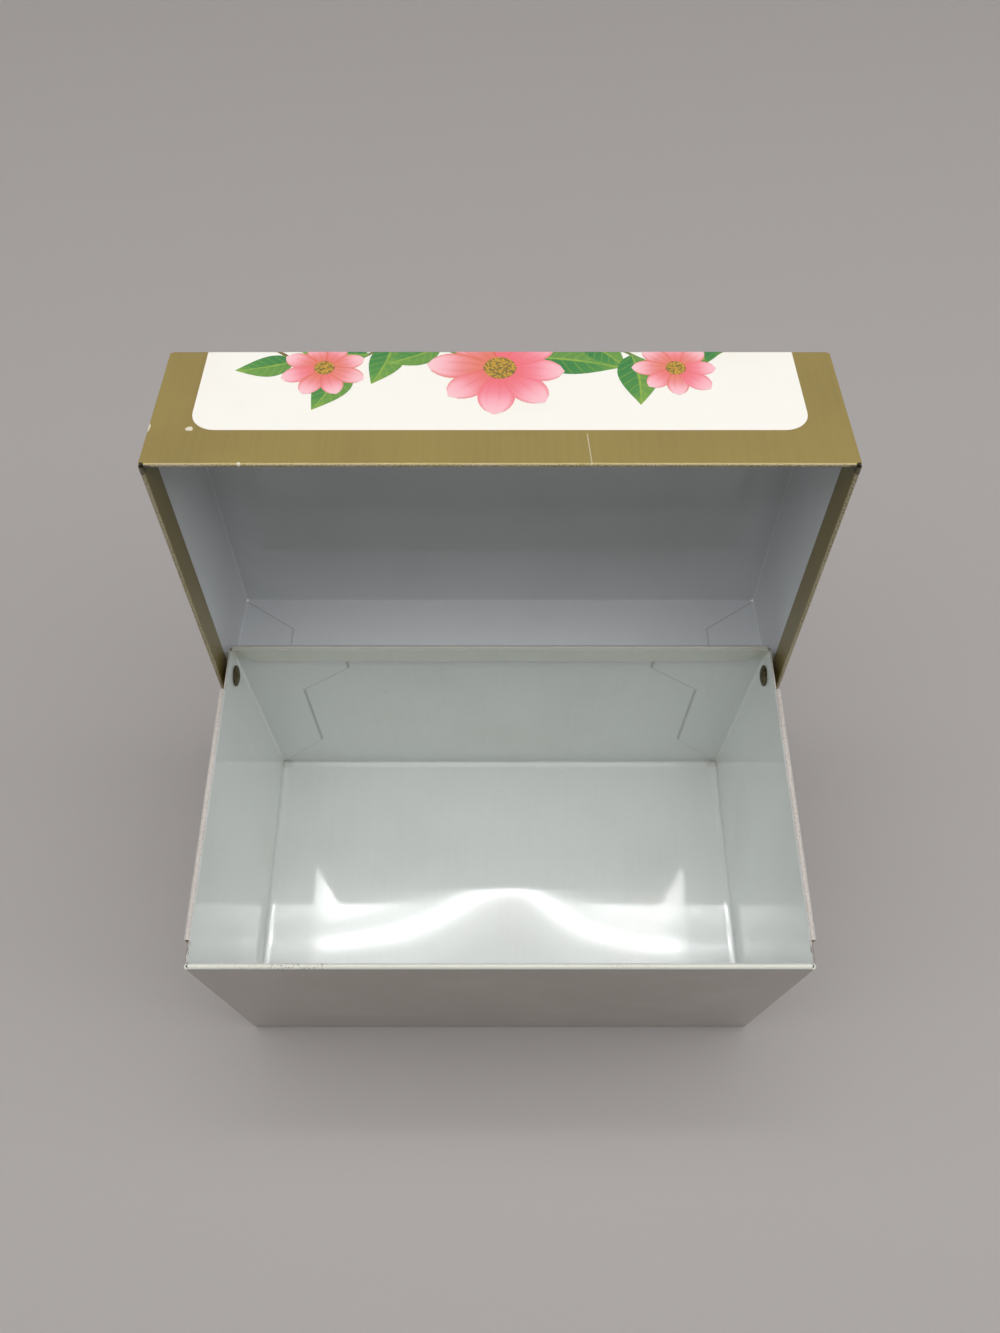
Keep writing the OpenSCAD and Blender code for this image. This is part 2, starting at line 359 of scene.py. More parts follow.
def trayRelief(tree, here, x, y, z, backY):
    # height in millimetres: the sheet's ripples, the enamel's peel, the floor's sag and its rounder folds
    ripple = tree.noise(here, *enamel["wave"]) * enamel["ripple"]
    peel = tree.noise(here, *enamel["skin"]) * enamel["peel"]
    aside = (x - enamel["sagMiddle"]) / enamel["sagWidth"]
    aside = (aside * (1 + (aside > 0) * enamel["sagLean"])) ** 2
    sag = aside / (1 + aside) * y.ramp(*enamel["sagReach"]) * (z < enamel["sagTop"]) * enamel["sag"]
    sideWidth, rearWidth, steepness = enamel["fillet"]
    nearSide = (abs(x) - enamel["wallX"] + sideWidth) | 0
    nearRear = (y - backY + rearWidth) | 0
    fillet = (nearSide ** 2 + nearRear ** 2) * (z < enamel["filletTop"]) * steepness
    return ripple + peel + sag + fillet


def rimWear(tree, tone, x, y, z, rim, backY, grain, cloud):
    # the rolled edges are rubbed, specked with dark where the front one was knocked, and the back one is
    # darkened with painted shade
    wearFoot, wearFull = enamel["rimTop"]
    end = backY - enamel["rimEnd"]
    top = z.ramp(rim - wearFoot, rim - wearFull)
    sideTop = top & (abs(y) < end)
    pale = enamel["rimCream"] + grain.share(*enamel["rimSpots"])
    thin = enamel["rimRub"] + grain.share(*enamel["rubSpots"])
    tone = tree.blend(top * pale, tone, enamel["cream"])
    tone = tree.blend(sideTop * thin, tone, enamel["rubbed"])
    # painted shade: the back rim, under the open lid, darkened toward tin
    tone = tree.blend((top & (y > end)) * enamel["rearRimShade"], tone, enamel["tin"])
    worn = top & grain.ramp(*enamel["wornGrain"]) & cloud.ramp(*enamel["wornCloud"])
    tone = tree.blend(worn * enamel["worn"], tone, enamel["tin"])
    middle, half, deep, drop = enamel["knock"]
    knocked = (abs(x - middle) < half) & (y < deep - backY) & (z > rim - drop)
    knocked = knocked & grain.ramp(*enamel["knockGrain"])
    tone = tree.blend(knocked * enamel["knocks"], tone, enamel["grimeAndShade"])
    return tone, worn, sideTop


def rimGapShade(tree, here, x, y, z, rim, backY):
    # painted shadow with some dark raw edge, where a side hem stops short of the front wall, and at the
    # rim's rear corners
    sideX = enamel["wallX"]
    ragged = abs(x) + (tree.noise(here, *enamel["rag"]) - 0.5) * enamel["gapRag"]
    sideFace, frontFace = enamel["frontGap"]
    front = (ragged > sideX - sideFace) & (y < enamel["sideHemFront"] - backY) & (y > frontFace - backY)
    sideFace, rearFace = enamel["rearGap"]
    rear = (ragged > sideX - sideFace) & (y > backY - rearFace)
    return (front | rear) & (z > rim - enamel["gapDrop"])


def cornerStains(tree, here, x, y, z, backY):
    # old stain where the floor's rear corners meet the walls
    fromSide, fromBack, up = enamel["stainAt"]
    across = (abs(x) - enamel["wallX"] + fromSide) ** 2 * enamel["stainLong"]
    away = (across + (y - backY + fromBack) ** 2 + (z - up) ** 2) ** 0.5
    blot = (tree.noise(here, *enamel["blot"]) - 0.5) * enamel["stainRag"]
    return (away + blot).share(*enamel["stains"])


def enamelMaterial():
    material, tree = newMaterial("tray_enamel_worn_and_shaded")
    here = millimetres(tree)
    x, y, z = here.axes()
    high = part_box("tray")[1]
    rim = high.z / mm
    backY = high.y / mm
    cloud = tree.noise(here, *enamel["cloud"])
    streaks = tree.noise(here, *enamel["streak"])
    grain = tree.noise(here, *enamel["grain"])
    shadedOuter, inHem = trayFaces(x, y, z, rim, backY)
    # the outer face is darkened as painted shade
    tone = tree.blend(shadedOuter, enamel["white"], enamel["outside"])
    tone = tree.blend(inHem, tone, enamel["hem"])
    tone = tree.blend(cloud.share(*enamel["yellowing"]), tone, enamel["cream"])
    tone = tree.blend(streaks.share(*enamel["streaks"]), tone, enamel["grimeAndShade"])
    # painted shadow with grime along the flap seams and under the end hems
    tone = tree.blend(traySeamShade(tree, x, y, z, rim, backY) * enamel["seamGrimeAndShade"], tone, enamel["grimeAndShade"])
    tone, worn, sideTop = rimWear(tree, tone, x, y, z, rim, backY, grain, cloud)
    # painted shadow in the rim's gaps
    gapShade = rimGapShade(tree, here, x, y, z, rim, backY)
    tone = tree.blend(gapShade * enamel["gapShade"], tone, enamel["grimeAndShade"])
    specks = tree.noise(here, *enamel["speck"]).share(*enamel["specks"])
    tone = tree.blend(specks, tone, enamel["grimeAndShade"])
    tone = tree.blend(cornerStains(tree, here, x, y, z, backY), tone, enamel["stain"])
    rough = enamel["gloss"] + worn * enamel["wornRough"] + sideTop * enamel["rimRough"]
    rough = rough + cloud.share(*enamel["cloudRough"])
    relief = bump(tree, trayRelief(tree, here, x, y, z, backY), 1)
    shader = tree.node("ShaderNodeBsdfPrincipled", {}, {
        "Base Color": tone, "Roughness": rough, "IOR": 1.55, "Normal": relief,
    })
    finishMaterial(tree, shader)
    return material


# the lid's two sides: gold ink outside, cool white enamel inside
litho = {
    "gold": paint(162, 143, 80),
    "goldDark": paint(135, 118, 68),
    "white": paint(226, 229, 232),
    "whiteDull": paint(197, 200, 203),
    # for grime, and as painted shadow along the flap seams
    "grimeAndShade": paint(96, 94, 90),
    "tin": paint(224, 216, 196),
    "turned": paint(134, 119, 66),  # the gold darkened as painted shade where a hem turns it inside
    "shade": paint(52, 46, 34),
    # noise: size, detail, and stretch where it has one
    "cloud": (24, 3),
    "streak": (0.9, 2, (1, 0.04, 0.04)),
    "grain": (0.35, 2),
    "rag": (0.7, 3),
    "wave": (26, 1),
    # tones that follow noise: where they start, where they are full, and how strongly they then show
    "clouds": (0.35, 0.75, 0.3),
    "streaks": (0.4, 0.75, 0.16),
    "dull": (0.4, 0.8, 0.2),
    "wornGrain": (0.5, 0.75),
    "wornCloud": 0.3,  # how much the clouds add to that grain
    # how strongly each of these shows
    "worn": 0.55,
    "seamGrimeAndShade": 0.35,
    "sideSeam": 0.5,  # of a flap's seam, where it runs along the skirt
    "gapShade": 0.7,
    # the surface: the white's roughness and what adds to it, the ink's metal and coat, and the relief
    "gloss": 0.06,
    "inkRough": 0.32,
    "grainRough": 0.02,
    "inkMetal": 0.3,
    "inkCoat": 0.3,
    "coatRough": 0.12,
    "ripple": 0.05,
    "peel": 0.0015,
    "chipDepth": 0.02,
    # the folded sheet
    "foldRadius": 0.8,
    "flap": (13.0, 9.0),  # width of a corner flap, and how far its slope drops
    "flapDrop": 1.1,  # from the lid's top to a flap's upper corner
    "seam": 0.3,  # width of the dark line along a flap's edge
    "sheet": 0.3,
    "inkDepth": 0.25,  # how far into the sheet the gold reaches
    "hemThickness": 0.95,
    "hemHeight": 6.8,
    "rearEdge": 5.7,
    "rearHemHeight": 5.0,
    "hemSlack": (0.2, 0.1),  # how far past a hem its colour may reach, inward and along the skirt
    "rollInside": 0.3,  # the share of a hem's thickness where the inside of its roll starts; from there the gold gets painted shade
    "edge": (0.35, 0.05),  # how far from a free edge its wear starts and is full
    "flapBand": 1.4,  # from the outer faces of the front and rear skirts
    "gap": (2.4, 2.6),  # from the outer faces of the side and front skirts
    # bare spots on the front skirt: across, down from the fold, half width, half height
    "chips": ((-67.5, 23.4, 0.55, 1.5), (-59.4, 23.8, 0.7, 0.6), (-48.6, 33.4, 0.35, 0.3)),
    "scratch": ((16.6, 25.2), (17.1, 33.4)),  # across and down from the fold
    "scratchWidth": 0.12,
    "scratchShade": 0.6,
    "chipRag": 1.1,
    "chipEdge": (1.1, 0.9),
}
hinge = frame["joints"][0]
hingePoint = Vector(hinge["pos_m"])
shutAngle = math.radians(hinge["range_deg"][1])
openTurn = Matrix.Rotation(-shutAngle, 4, "X")  # from shut to open


def shutBox():
    # the lid's own box, in millimetres from the hinge line, as if it were shut
    back = openTurn.inverted()
    points = [back @ (v.co - hingePoint) / mm for v in frame["nodes"]["lid"].data.vertices]
    return [(min(p[i] for p in points), max(p[i] for p in points)) for i in range(3)]


lidX, lidY, lidZ = shutBox()
print("lid, shut, from the hinge line:", lidX, lidY, lidZ)


def lidPlace(tree):
    # coordinates of the shut lid in millimetres
    here = tree.node("ShaderNodeTexCoord", {}, [], "Object")
    values = (here, hingePoint, (-shutAngle, 0, 0), (mm, mm, mm))
    return tree.node("ShaderNodeMapping", {"vector_type": "TEXTURE"}, values)


def goldMasks(tree, place):
    # gold is the sheet's outer face, which the hems turn in again; the second mask is that turned part with
    # the inner side of the rolled edges, where the gold gets painted shade
    x, y, z = place.axes()
    r = litho["foldRadius"]
    middleY = (lidY[0] + lidY[1]) / 2
    halfY = (lidY[1] - lidY[0]) / 2
    overX = abs(x) - (lidX[1] - r)
    overY = abs(y - middleY) - (halfY - r)
    overZ = z - (lidZ[1] - r)
    outside = tree.vectorCalc("MAXIMUM", tree.vector(overX, overY, overZ))
    inside = (overX | overY | overZ) & 0
    depth = r - inside - tree.vectorCalc("LENGTH", outside, out="Value")
    thick = litho["hemThickness"]
    rearEdge = litho["rearEdge"]
    rearTop = rearEdge + litho["rearHemHeight"]
    inward, along = litho["hemSlack"]
    nearRear = y > lidY[1] - thick - inward
    inHem = (z < lidZ[0] + litho["hemHeight"] + along) | (nearRear & (z < rearTop + along))
    rolled = (z < lidZ[0] + thick / 2) | (nearRear & (z < rearEdge + thick / 2))
    # painted shade on the inner half of every rolled edge, and on the side skirts' whole rolls
    rollShade = rolled & ((depth > thick * litho["rollInside"]) | (abs(x) > lidX[1] - thick))
    turned = (inHem & (depth > thick - litho["sheet"] / 2)) | rollShade
    return (depth < litho["inkDepth"]) | turned | rolled, turned


def bareSpots(tree, place):
    # a scratch and a few chips through the ink of the front skirt
    x, _, z = place.axes()
    down = lidZ[1] - z
    ragged = (tree.noise(place, *litho["rag"]) - 0.5) * litho["chipRag"]
    bare = tree.stroke(x, down, *litho["scratch"], litho["scratchWidth"]) * litho["scratchShade"]
    for chipX, chipDown, wide, high in litho["chips"]:
        reach = (((x - chipX) / wide) ** 2 + ((down - chipDown) / high) ** 2) ** 0.5
        bare = bare | (reach + ragged).ramp(*litho["chipEdge"])
    return bare


def lidSeamShade(tree, place):
    # the edges of the corner flaps inside the lid, darkened with grime and painted shadow
    x, y, z = place.axes()
    across = lidX[1] - litho["foldRadius"] - abs(x)
    top = lidZ[1] - litho["flapDrop"]
    width, drop = litho["flap"]
    slope = tree.stroke(across, z, (0, top), (width, top - drop), litho["seam"])
    side = tree.stroke(across, z, (width, top - drop), (width, lidZ[0]), litho["seam"]) * litho["sideSeam"]
    band = litho["flapBand"]
    return (slope | side) & ((y > lidY[1] - band) | (y < lidY[0] + band))


def lithoMaterial():
    material, tree = newMaterial("lid_gold_and_white")
    place = lidPlace(tree)
    x, y, z = place.axes()
    gold, turned = goldMasks(tree, place)
    cloud = tree.noise(place, *litho["cloud"])
    streaks = tree.noise(place, *litho["streak"])
    grain = tree.noise(place, *litho["grain"])
    darker = cloud.share(*litho["clouds"]) + streaks.share(*litho["streaks"])
    ink = tree.blend(darker, litho["gold"], litho["goldDark"])
    # painted shade where the hems turn the gold inside
    ink = tree.blend(turned, ink, litho["turned"])
    # the ink is rubbed thin along the free edges and has come off in a few spots
    wearStart, wearFull = litho["edge"]
    edge = z.ramp(lidZ[0] + wearStart, lidZ[0] + wearFull)
    worn = edge & (grain + cloud * litho["wornCloud"]).ramp(*litho["wornGrain"])
    bare = bareSpots(tree, place)
    front = y < lidY[0] + litho["foldRadius"]
    ink = tree.blend(worn * litho["worn"] | bare & front, ink, litho["tin"])
    white = tree.blend(cloud.share(*litho["dull"]), litho["white"], litho["whiteDull"])
    # painted shadow with grime along the lid's flap seams
    white = tree.blend(lidSeamShade(tree, place) * litho["seamGrimeAndShade"], white, litho["grimeAndShade"])
    tone = tree.blend(gold, white, ink)
    # dark in the gap between the front hem and the side hems
    fromSide, fromFront = litho["gap"]
    gap = (abs(x) > lidX[1] - fromSide) & (y < lidY[0] + fromFront) & (z < lidZ[0] + litho["hemHeight"])
    tone = tree.blend((gap & (turned | (gold < 0.5))) * litho["gapShade"], tone, litho["shade"])
    rough = litho["gloss"] + gold * litho["inkRough"] + grain * litho["grainRough"]
    ripple = tree.noise(place, *litho["wave"]) * litho["ripple"]
    relief = ripple + grain * litho["peel"] - bare * litho["chipDepth"]
    shader = tree.node("ShaderNodeBsdfPrincipled", {}, {
        "Base Color": tone, "Roughness": rough, "Metallic": gold * litho["inkMetal"] * (1 - bare),
        "IOR": 1.55, "Coat Weight": gold * litho["inkCoat"], "Coat Roughness": litho["coatRough"],
        "Normal": bump(tree, relief, 1),
    })
    finishMaterial(tree, shader)
    return material


# the hinge rivets: dull brass
brass = {
    "bright": paint(116, 104, 70),
    "dark": paint(54, 49, 35),
    "grain": (0.6, 3),
    "tones": (0.35, 0.65),  # the grain where dark gives way to bright
    "rough": (0.35, 0.3),  # at the least, and how much the grain adds
    "metal": 0.7,
    "relief": 0.03,
}


def brassMaterial():
    material, tree = newMaterial("rivet_dull_brass")
    here = millimetres(tree)
    grain = tree.noise(here, *brass["grain"])
    tone = tree.blend(grain.ramp(*brass["tones"]), brass["dark"], brass["bright"])
    least, more = brass["rough"]
    shader = tree.node("ShaderNodeBsdfPrincipled", {}, {
        "Base Color": tone, "Roughness": least + grain * more, "Metallic": brass["metal"],
        "Normal": bump(tree, grain, brass["relief"]),
    })
    finishMaterial(tree, shader)
    return material


def dress(node, material):
    slots = frame["nodes"][node].data.materials
    for index in range(len(slots)):
        slots[index] = material


dress("tray", enamelMaterial())
dress("lid", lithoMaterial())
rivetFinish = brassMaterial()
dress("hinge_rivet_left", rivetFinish)
dress("hinge_rivet_right", rivetFinish)
print("finishes made")


# the printed panel runs from the top over the front fold; u is across, v is along the sheet from the fold
printed = {
    "inset": 8.0,  # from the lid's side faces
    "frontReach": 24.0,  # down the front skirt
    "rearInset": 10.0,  # from the rear fold
    "cornerRadius": 5.0,
    "arcSteps": 8,  # in a corner of the panel, and where the print bends over the fold
    "ink": 0.02,  # thickness of each layer
    "rows": (-1.0, 24.5, 49.5),  # where the garlands lie along v
    "swing": 4.5,
    "margin": 6.5,
    "overhang": 4.5,  # how far a leaf may reach past the stem's end
    "waves": 3,
    "seed": 7,
    "stemSteps": 120,
    "stemWidth": 0.7,
    "leavesPerRow": 22,
    "leafLean": (52, 9),  # degrees from the stem, and how far that varies
    "leafSize": (0.72, 1.1),
    "leafClear": 2.5,  # no leaf starts this near the middle of a flower
    "petalsPerFlower": 8,
    "petalSize": (0.9, 1.04),
    "flowerSize": (1.62, 1.0),  # in the middle of a garland, and elsewhere
    "budRise": 1.5,  # from the stem to a bud's petals
    "budPetal": (17, 0.7),  # degrees from upright, and size
    "budLeaf": (34, 0.3),
    # height over the lid in layers of ink, and millimetres more for each leaf or petal of a set
    "leafLayer": (2, 0.0005),
    "petalLayer": (3.2, 0.001),
    "budLeafLayer": (4.4, 0.001),
    "heartLayer": 4.6,
    # a blade is widest toward its root with a Belly under 1; a low Blunt rounds its ends; Bend arches it
    "leaf": {"Length": 16.5, "Width": 8.8, "Belly": 0.75, "Blunt": 1.0, "Bend": 0.7},
    "petal": {"Length": 8.8, "Width": 4.6, "Belly": 1.5, "Blunt": 0.62, "Bend": 0.0},
    "heart": {"Length": 4.2, "Width": 4.2, "Belly": 1.0, "Blunt": 0.5, "Bend": 0.0},
}
foldArc = litho["foldRadius"] * math.pi / 2
lidDepth = lidY[1] - lidY[0]
garlandSpan = 2 * (lidX[1] - printed["inset"] - printed["margin"])


def ontoLid(u, v, rise):
    # a place on the lid's outer face, rise millimetres above it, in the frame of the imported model
    r = litho["foldRadius"]
    if v > foldArc / 2:
        shut = (u, lidY[0] + r + v - foldArc / 2, lidZ[1] + rise)
    elif v < -foldArc / 2:
        shut = (u, lidY[0] - rise, lidZ[1] - r + v + foldArc / 2)
    else:
        turn = (v + foldArc / 2) / r
        shut = (u, lidY[0] + r - (r + rise) * math.cos(turn), lidZ[1] - r + (r + rise) * math.sin(turn))
    return openTurn @ (Vector(shut) * mm) + hingePoint


def wrapPrint(name, mesh):
    # a flat drawing in (u, v, height) becomes a thin piece that follows the lid
    bm = bmesh.new()
    bm.from_mesh(mesh)
    steps = printed["arcSteps"]
    for step in range(steps + 1):
        level = (step / steps - 0.5) * foldArc
        geometry = bm.verts[:] + bm.edges[:] + bm.faces[:]
        bmesh.ops.bisect_plane(bm, geom=geometry, plane_co=(0, level, 0), plane_no=(0, 1, 0))
    for vert in bm.verts:
        vert.co = ontoLid(*vert.co)
    bm.to_mesh(mesh)
    bm.free()
    piece = bpy.data.objects.new(name, mesh)
    bpy.context.scene.collection.objects.link(piece)
    solid = piece.modifiers.new("ink", "SOLIDIFY")
    solid.thickness = printed["ink"] * mm
    solid.offset = 1
    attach(piece, "lid")


def drawWith(group, name, mesh, values):
    # what the group makes of a mesh, as a plain mesh
    holder = bpy.data.objects.new(name, mesh)
    bpy.context.scene.collection.objects.link(holder)
    modifier = holder.modifiers.new("drawing", "NODES")
    modifier.node_group = group
    for label, value in values.items():
        modifier[group.interface.items_tree[label].identifier] = value
    drawn = bpy.data.meshes.new_from_object(holder.evaluated_get(bpy.context.evaluated_depsgraph_get()))
    holder.modifiers.remove(modifier)
    bpy.data.objects.remove(holder)
    return drawn


def growBlades(name, points, shape, material):
    # one leaf, petal or dot at each point; a point is (u, v, height, turn, size, tone)
    mesh = bpy.data.meshes.new(name)
    mesh.from_pydata([p[:3] for p in points], [], [])
    for column, label in enumerate(("turn", "reach", "tone"), 3):
        values = mesh.attributes.new(label, "FLOAT", "POINT")
        values.data.foreach_set("value", [p[column] for p in points])
    wrapPrint(name, drawWith(bladeGroup, name + "_points", mesh, {**shape, "Material": material}))


def newGroup(name, inputs):
    group = bpy.data.node_groups.new(name, "GeometryNodeTree")
    group.interface.new_socket("Geometry", in_out="OUTPUT", socket_type="NodeSocketGeometry")
    for label, kind in inputs.items():
        group.interface.new_socket(label, in_out="INPUT", socket_type="NodeSocket" + kind)
    tree = Tree(group)
    entry = group.nodes.new("NodeGroupInput")
    return group, tree, {label: Sock(tree, entry.outputs[label]) for label in inputs}


def finishGroup(tree, geometry, material):
    done = tree.node("GeometryNodeSetMaterial", {}, {"Geometry": geometry, "Material": material})
    leave = tree.nodeTree.nodes.new("NodeGroupOutput")
    tree.nodeTree.links.new(done.socket, leave.inputs[0])


def makeBladeGroup():
    # a flat pointed or rounded blade, grown along X from each point
    group, tree, given = newGroup("printedBlades", {
        "Points": "Geometry", "Length": "Float", "Width": "Float", "Belly": "Float", "Blunt": "Float",
        "Bend": "Float", "Material": "Material",
    })
    cells = {"Size X": 1, "Size Y": 1, "Vertices X": 13, "Vertices Y": 5}
    grid = tree.node("GeometryNodeMeshGrid", {}, cells)
    sx, sy, _ = tree.node("GeometryNodeInputPosition", {}, []).axes()
    along = sx + 0.5
    across = sy * 2
    for label, value in (("along", along), ("across", across)):
        values = {"Geometry": grid, "Name": label, "Value": value}
        grid = tree.node("GeometryNodeStoreNamedAttribute", {"data_type": "FLOAT"}, values)
    swell = ((along ** given["Belly"]) * math.pi).calc("SINE") ** given["Blunt"]
    arch = (along * math.pi).calc("SINE") * given["Bend"]
    place = tree.vector(along * given["Length"], across * swell * given["Width"] / 2 + arch, 0)
    blade = tree.node("GeometryNodeSetPosition", {}, {"Geometry": grid, "Position": place})
    blade = tree.node("GeometryNodeMergeByDistance", {}, {"Geometry": blade, "Distance": 0.004})
    own = {label: tree.node("GeometryNodeInputNamedAttribute", {"data_type": "FLOAT"}, {"Name": label})
           for label in ("turn", "reach")}
    turned = tree.node("FunctionNodeEulerToRotation", {}, [tree.vector(0, 0, own["turn"])])
    scaled = tree.vector(own["reach"], own["reach"], 1)
    placed = tree.node("GeometryNodeInstanceOnPoints", {}, {
        "Points": given["Points"], "Instance": blade, "Rotation": turned, "Scale": scaled,
    })
    whole = tree.node("GeometryNodeRealizeInstances", {}, [placed])
    finishGroup(tree, whole, given["Material"])
    return group


def makeStemGroup():
    # a flat ribbon along every line of a mesh of edges
    inputs = {"Lines": "Geometry", "Width": "Float", "Material": "Material"}
    group, tree, given = newGroup("printedStems", inputs)
    curve = tree.node("GeometryNodeMeshToCurve", {}, {"Mesh": given["Lines"]})
    curve = tree.node("GeometryNodeSetCurveNormal", {}, {"Curve": curve})
    half = given["Width"] / 2
    ends = {"Start": tree.vector(-half, 0, 0), "End": tree.vector(half, 0, 0)}
    profile = tree.node("GeometryNodeCurvePrimitiveLine", {}, ends)
    ribbon = tree.node("GeometryNodeCurveToMesh", {}, {"Curve": curve, "Profile Curve": profile})
    finishGroup(tree, ribbon, given["Material"])
    return group


bladeGroup = makeBladeGroup()
stemGroup = makeStemGroup()

inks = {
    "paper": paint(251, 248, 240),
    "paperAged": paint(240, 232, 214),
    "leafDark": paint(52, 128, 66),
    "leaf": paint(88, 150, 70),
    "leafLight": paint(161, 188, 76),
    "petal": paint(252, 160, 178),
    "petalPale": paint(253, 205, 210),
    "petalDeep": paint(240, 112, 122),
    "petalCoral": paint(226, 104, 70),
    "stem": paint(124, 107, 49),
    "stemGreen": paint(104, 132, 60),
    "heart": paint(206, 160, 60),
    # the varnish over them
    "varnish": 0.35,
    "varnishRough": 0.1,
    "grain": (0.3, 2),
    "rough": (0.3, 0.1),  # at the least, and how much the grain adds
    "relief": 0.004,
    # noise in the paper, leaves, hearts and stems: size and detail, and then where it starts and is full
    "paperCloud": (16, 3),
    "paperAging": (0.45, 0.8, 0.25),
    "leafWash": (1.2, 3),
    "leafWashed": (0.35, 0.7, 0.25),
    "heartGrain": (0.5, 2),
    "stemGrain": (3, 2),
    "mottle": (0.4, 0.6),
    # a leaf grows lighter along its length, on one half and at its tip, and has ribs
    "leafAlong": (0.15, 0.95, 0.8),
    "leafTone": (0.3, 0.1),  # what the leaf's own tone adds, and what is taken off every leaf
    "leafHalf": 0.3,
    "leafTip": (0.75, 1, 0.45),
    "ribs": (7, 1.3),  # how many, and how far they sweep to the tip
    "rib": (0.16, 0.04, 0.5),
    "midrib": (0.1, 0.04, 0.8),
    # a petal is deep at its root, along its edges and in streaks, and pale at its tip
    "coral": (0.1, 0.7),  # the tones from pink to coral
    "root": (0.2, 0.85, 0.1),  # where the deep colour starts to fade, where it is gone, and how that varies
    "tip": (0.5, 1, 0.8),
    "tipTone": 0.2,
    "streaks": (9, 5),  # how close, and how far they shift with the tone
    "streak": (0.5, 1),
    "streakReach": (0.95, 0.3),
    "streakShade": 0.35,
    "petalEdge": (0.7, 1, 0.6),
}


def bladeMarks(tree):
    # along a blade from 0 to 1, across it from -1 to 1, and its own tone from 0 to 1
    return [tree.node("ShaderNodeAttribute", {"attribute_name": label}, [], "Fac")
            for label in ("along", "across", "tone")]


def inkMaterial(name, colour):
    # the same glossy varnish over a colour that the given function works out
    material, tree = newMaterial(name)
    place = lidPlace(tree)
    tone = colour(tree, place)
    grain = tree.noise(place, *inks["grain"])
    least, more = inks["rough"]
    shader = tree.node("ShaderNodeBsdfPrincipled", {}, {
        "Base Color": tone, "Roughness": least + grain * more, "Coat Weight": inks["varnish"],
        "Coat Roughness": inks["varnishRough"], "Normal": bump(tree, grain, inks["relief"]),
    })
    finishMaterial(tree, shader)
    return material


def paperColour(tree, place):
    cloud = tree.noise(place, *inks["paperCloud"])
    return tree.blend(cloud.share(*inks["paperAging"]), inks["paper"], inks["paperAged"])


def leafColour(tree, place):
    along, across, tone = bladeMarks(tree)
    toneMore, less = inks["leafTone"]
    count, sweep = inks["ribs"]
    lighter = along.share(*inks["leafAlong"]) + tone * toneMore - less
    body = tree.blend(lighter, inks["leafDark"], inks["leaf"])
    lighter = (across > 0) * inks["leafHalf"] + along.share(*inks["leafTip"])
    body = tree.blend(lighter, body, inks["leafLight"])
    ribs = (along * count - abs(across) * sweep).calc("FRACT")
    veins = ribs.share(*inks["rib"]) | abs(across).share(*inks["midrib"])
    body = tree.blend(veins, body, inks["leafLight"])
    wash = tree.noise(place, *inks["leafWash"]).share(*inks["leafWashed"])
    return tree.blend(wash, body, inks["leafDark"])


def petalColour(tree, _):
    along, across, tone = bladeMarks(tree)
    fades, gone, varies = inks["root"]
    close, shift = inks["streaks"]
    deep = tree.blend(tone.ramp(*inks["coral"]), inks["petalDeep"], inks["petalCoral"])
    body = tree.blend(along.ramp(fades, gone + tone * varies), deep, inks["petal"])
    body = tree.blend(along.share(*inks["tip"]) + tone * inks["tipTone"], body, inks["petalPale"])
    streak = (across * close + tone * shift).calc("SINE").ramp(*inks["streak"])
    streak = streak & along.ramp(*inks["streakReach"])
    body = tree.blend(streak * inks["streakShade"], body, deep)
    return tree.blend(abs(across).share(*inks["petalEdge"]), body, deep)


def heartColour(tree, place):
    grain = tree.noise(place, *inks["heartGrain"])
    return tree.blend(grain.ramp(*inks["mottle"]), inks["heart"], inks["stem"])


def stemColour(tree, place):
    grain = tree.noise(place, *inks["stemGrain"])
    return tree.blend(grain.ramp(*inks["mottle"]), inks["stem"], inks["stemGreen"])


def makePanel():
    # a rounded rectangle, drawn from its corner arcs
    r = printed["cornerRadius"]
    side = lidX[1] - printed["inset"] - r
    low = r - printed["frontReach"]
    high = lidDepth - printed["rearInset"] - r
    steps = printed["arcSteps"]
    outline = []
    for turn, (u, v) in enumerate(((side, high), (-side, high), (-side, low), (side, low))):
        for step in range(steps + 1):
            angle = (turn + step / steps) * math.pi / 2
            outline.append((u + r * math.cos(angle), v + r * math.sin(angle), 0))
    mesh = bpy.data.meshes.new("lid_print_panel")
    mesh.from_pydata(outline, [], [range(len(outline))])
    mesh.materials.append(inkMaterial("panel_white", paperColour))
    wrapPrint("lid_print_panel", mesh)


def garlandHeight(row, u):
    # the stem of a garland; every other row has its waves shifted by half
    phase = math.pi * (row % 2)
    wave = 2 * math.pi * u * printed["waves"] / garlandSpan
    return printed["rows"][row] - printed["swing"] * math.cos(wave + phase)


def placeLeaves(row, flowers, chance):
    # leaves lean out from the stem on alternate sides, and point away from the middle
    leaves = []
    count = printed["leavesPerRow"]
    layer, lift = printed["leafLayer"]
    lean, leanSpread = printed["leafLean"]
    for k in range(count):
        u = ((k + 0.5) / count - 0.5) * (garlandSpan + 1)
        if min(abs(u - flower) for flower in flowers) < printed["leafClear"]:
            continue
        side = 1 if k % 2 else -1
        slope = math.atan2(garlandHeight(row, u + 0.5) - garlandHeight(row, u - 0.5), 1)
        tilt = math.radians(lean + chance.uniform(-leanSpread, leanSpread)) * side
        turn = slope + tilt if u >= 0 else math.pi + slope - tilt
        size = chance.uniform(*printed["leafSize"])
        tip = abs(u + size * printed["leaf"]["Length"] * math.cos(turn))
        if tip > garlandSpan / 2 + printed["overhang"]:
            continue
        height = layer * printed["ink"] + lift * k
        leaves.append((u, garlandHeight(row, u), height, turn, size, chance.random()))
    return leaves


